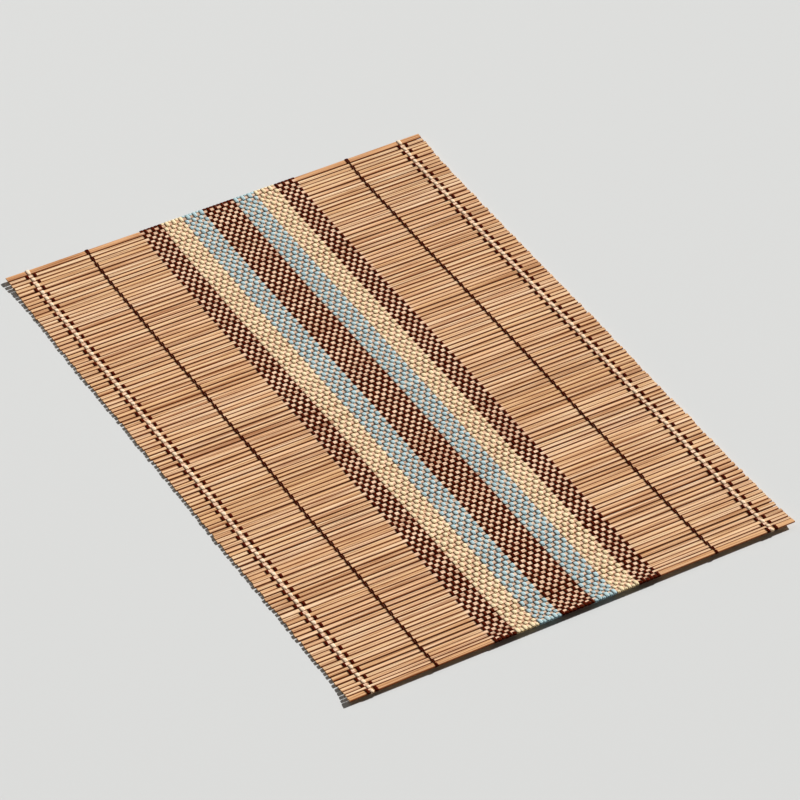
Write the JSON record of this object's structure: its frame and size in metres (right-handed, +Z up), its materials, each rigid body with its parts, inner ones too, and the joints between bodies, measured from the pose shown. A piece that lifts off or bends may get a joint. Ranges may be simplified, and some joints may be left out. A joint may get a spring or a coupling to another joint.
{
  "type": "bamboo tea mat",
  "caption": "Flat table mat of split bamboo slats bound by cotton warp yarns, with a striped band down the middle and dark lines beside it.",
  "frame": {"origin": "on the table, under the middle of the mat", "axes": "+X along the slats to the right, +Y along the mat from its near end to its far end, +Z up from the table"},
  "size_m": [0.3322, 0.4841, 0.0053],
  "materials": {
    "bamboo": "split bamboo, planed smooth, satin",
    "brown_yarn": "soft twisted cotton yarn, matt",
    "cream_yarn": "soft twisted cotton yarn, matt",
    "blue_yarn": "soft twisted cotton yarn, matt"
  },
  "bodies": {
    "root": {"slats": "bamboo", "stripe_1_brown": "brown_yarn", "stripe_2_cream": "cream_yarn", "stripe_3_blue": "blue_yarn", "stripe_4_brown": "brown_yarn", "stripe_5_blue": "blue_yarn", "stripe_6_cream": "cream_yarn", "stripe_7_brown": "brown_yarn", "line_left": "brown_yarn", "line_right": "brown_yarn", "border_left_outer": "brown_yarn", "border_left_cream": "cream_yarn", "border_left_inner": "brown_yarn", "border_right_inner": "brown_yarn", "border_right_cream": "cream_yarn", "border_right_outer": "brown_yarn"}
  },
  "joints": []
}
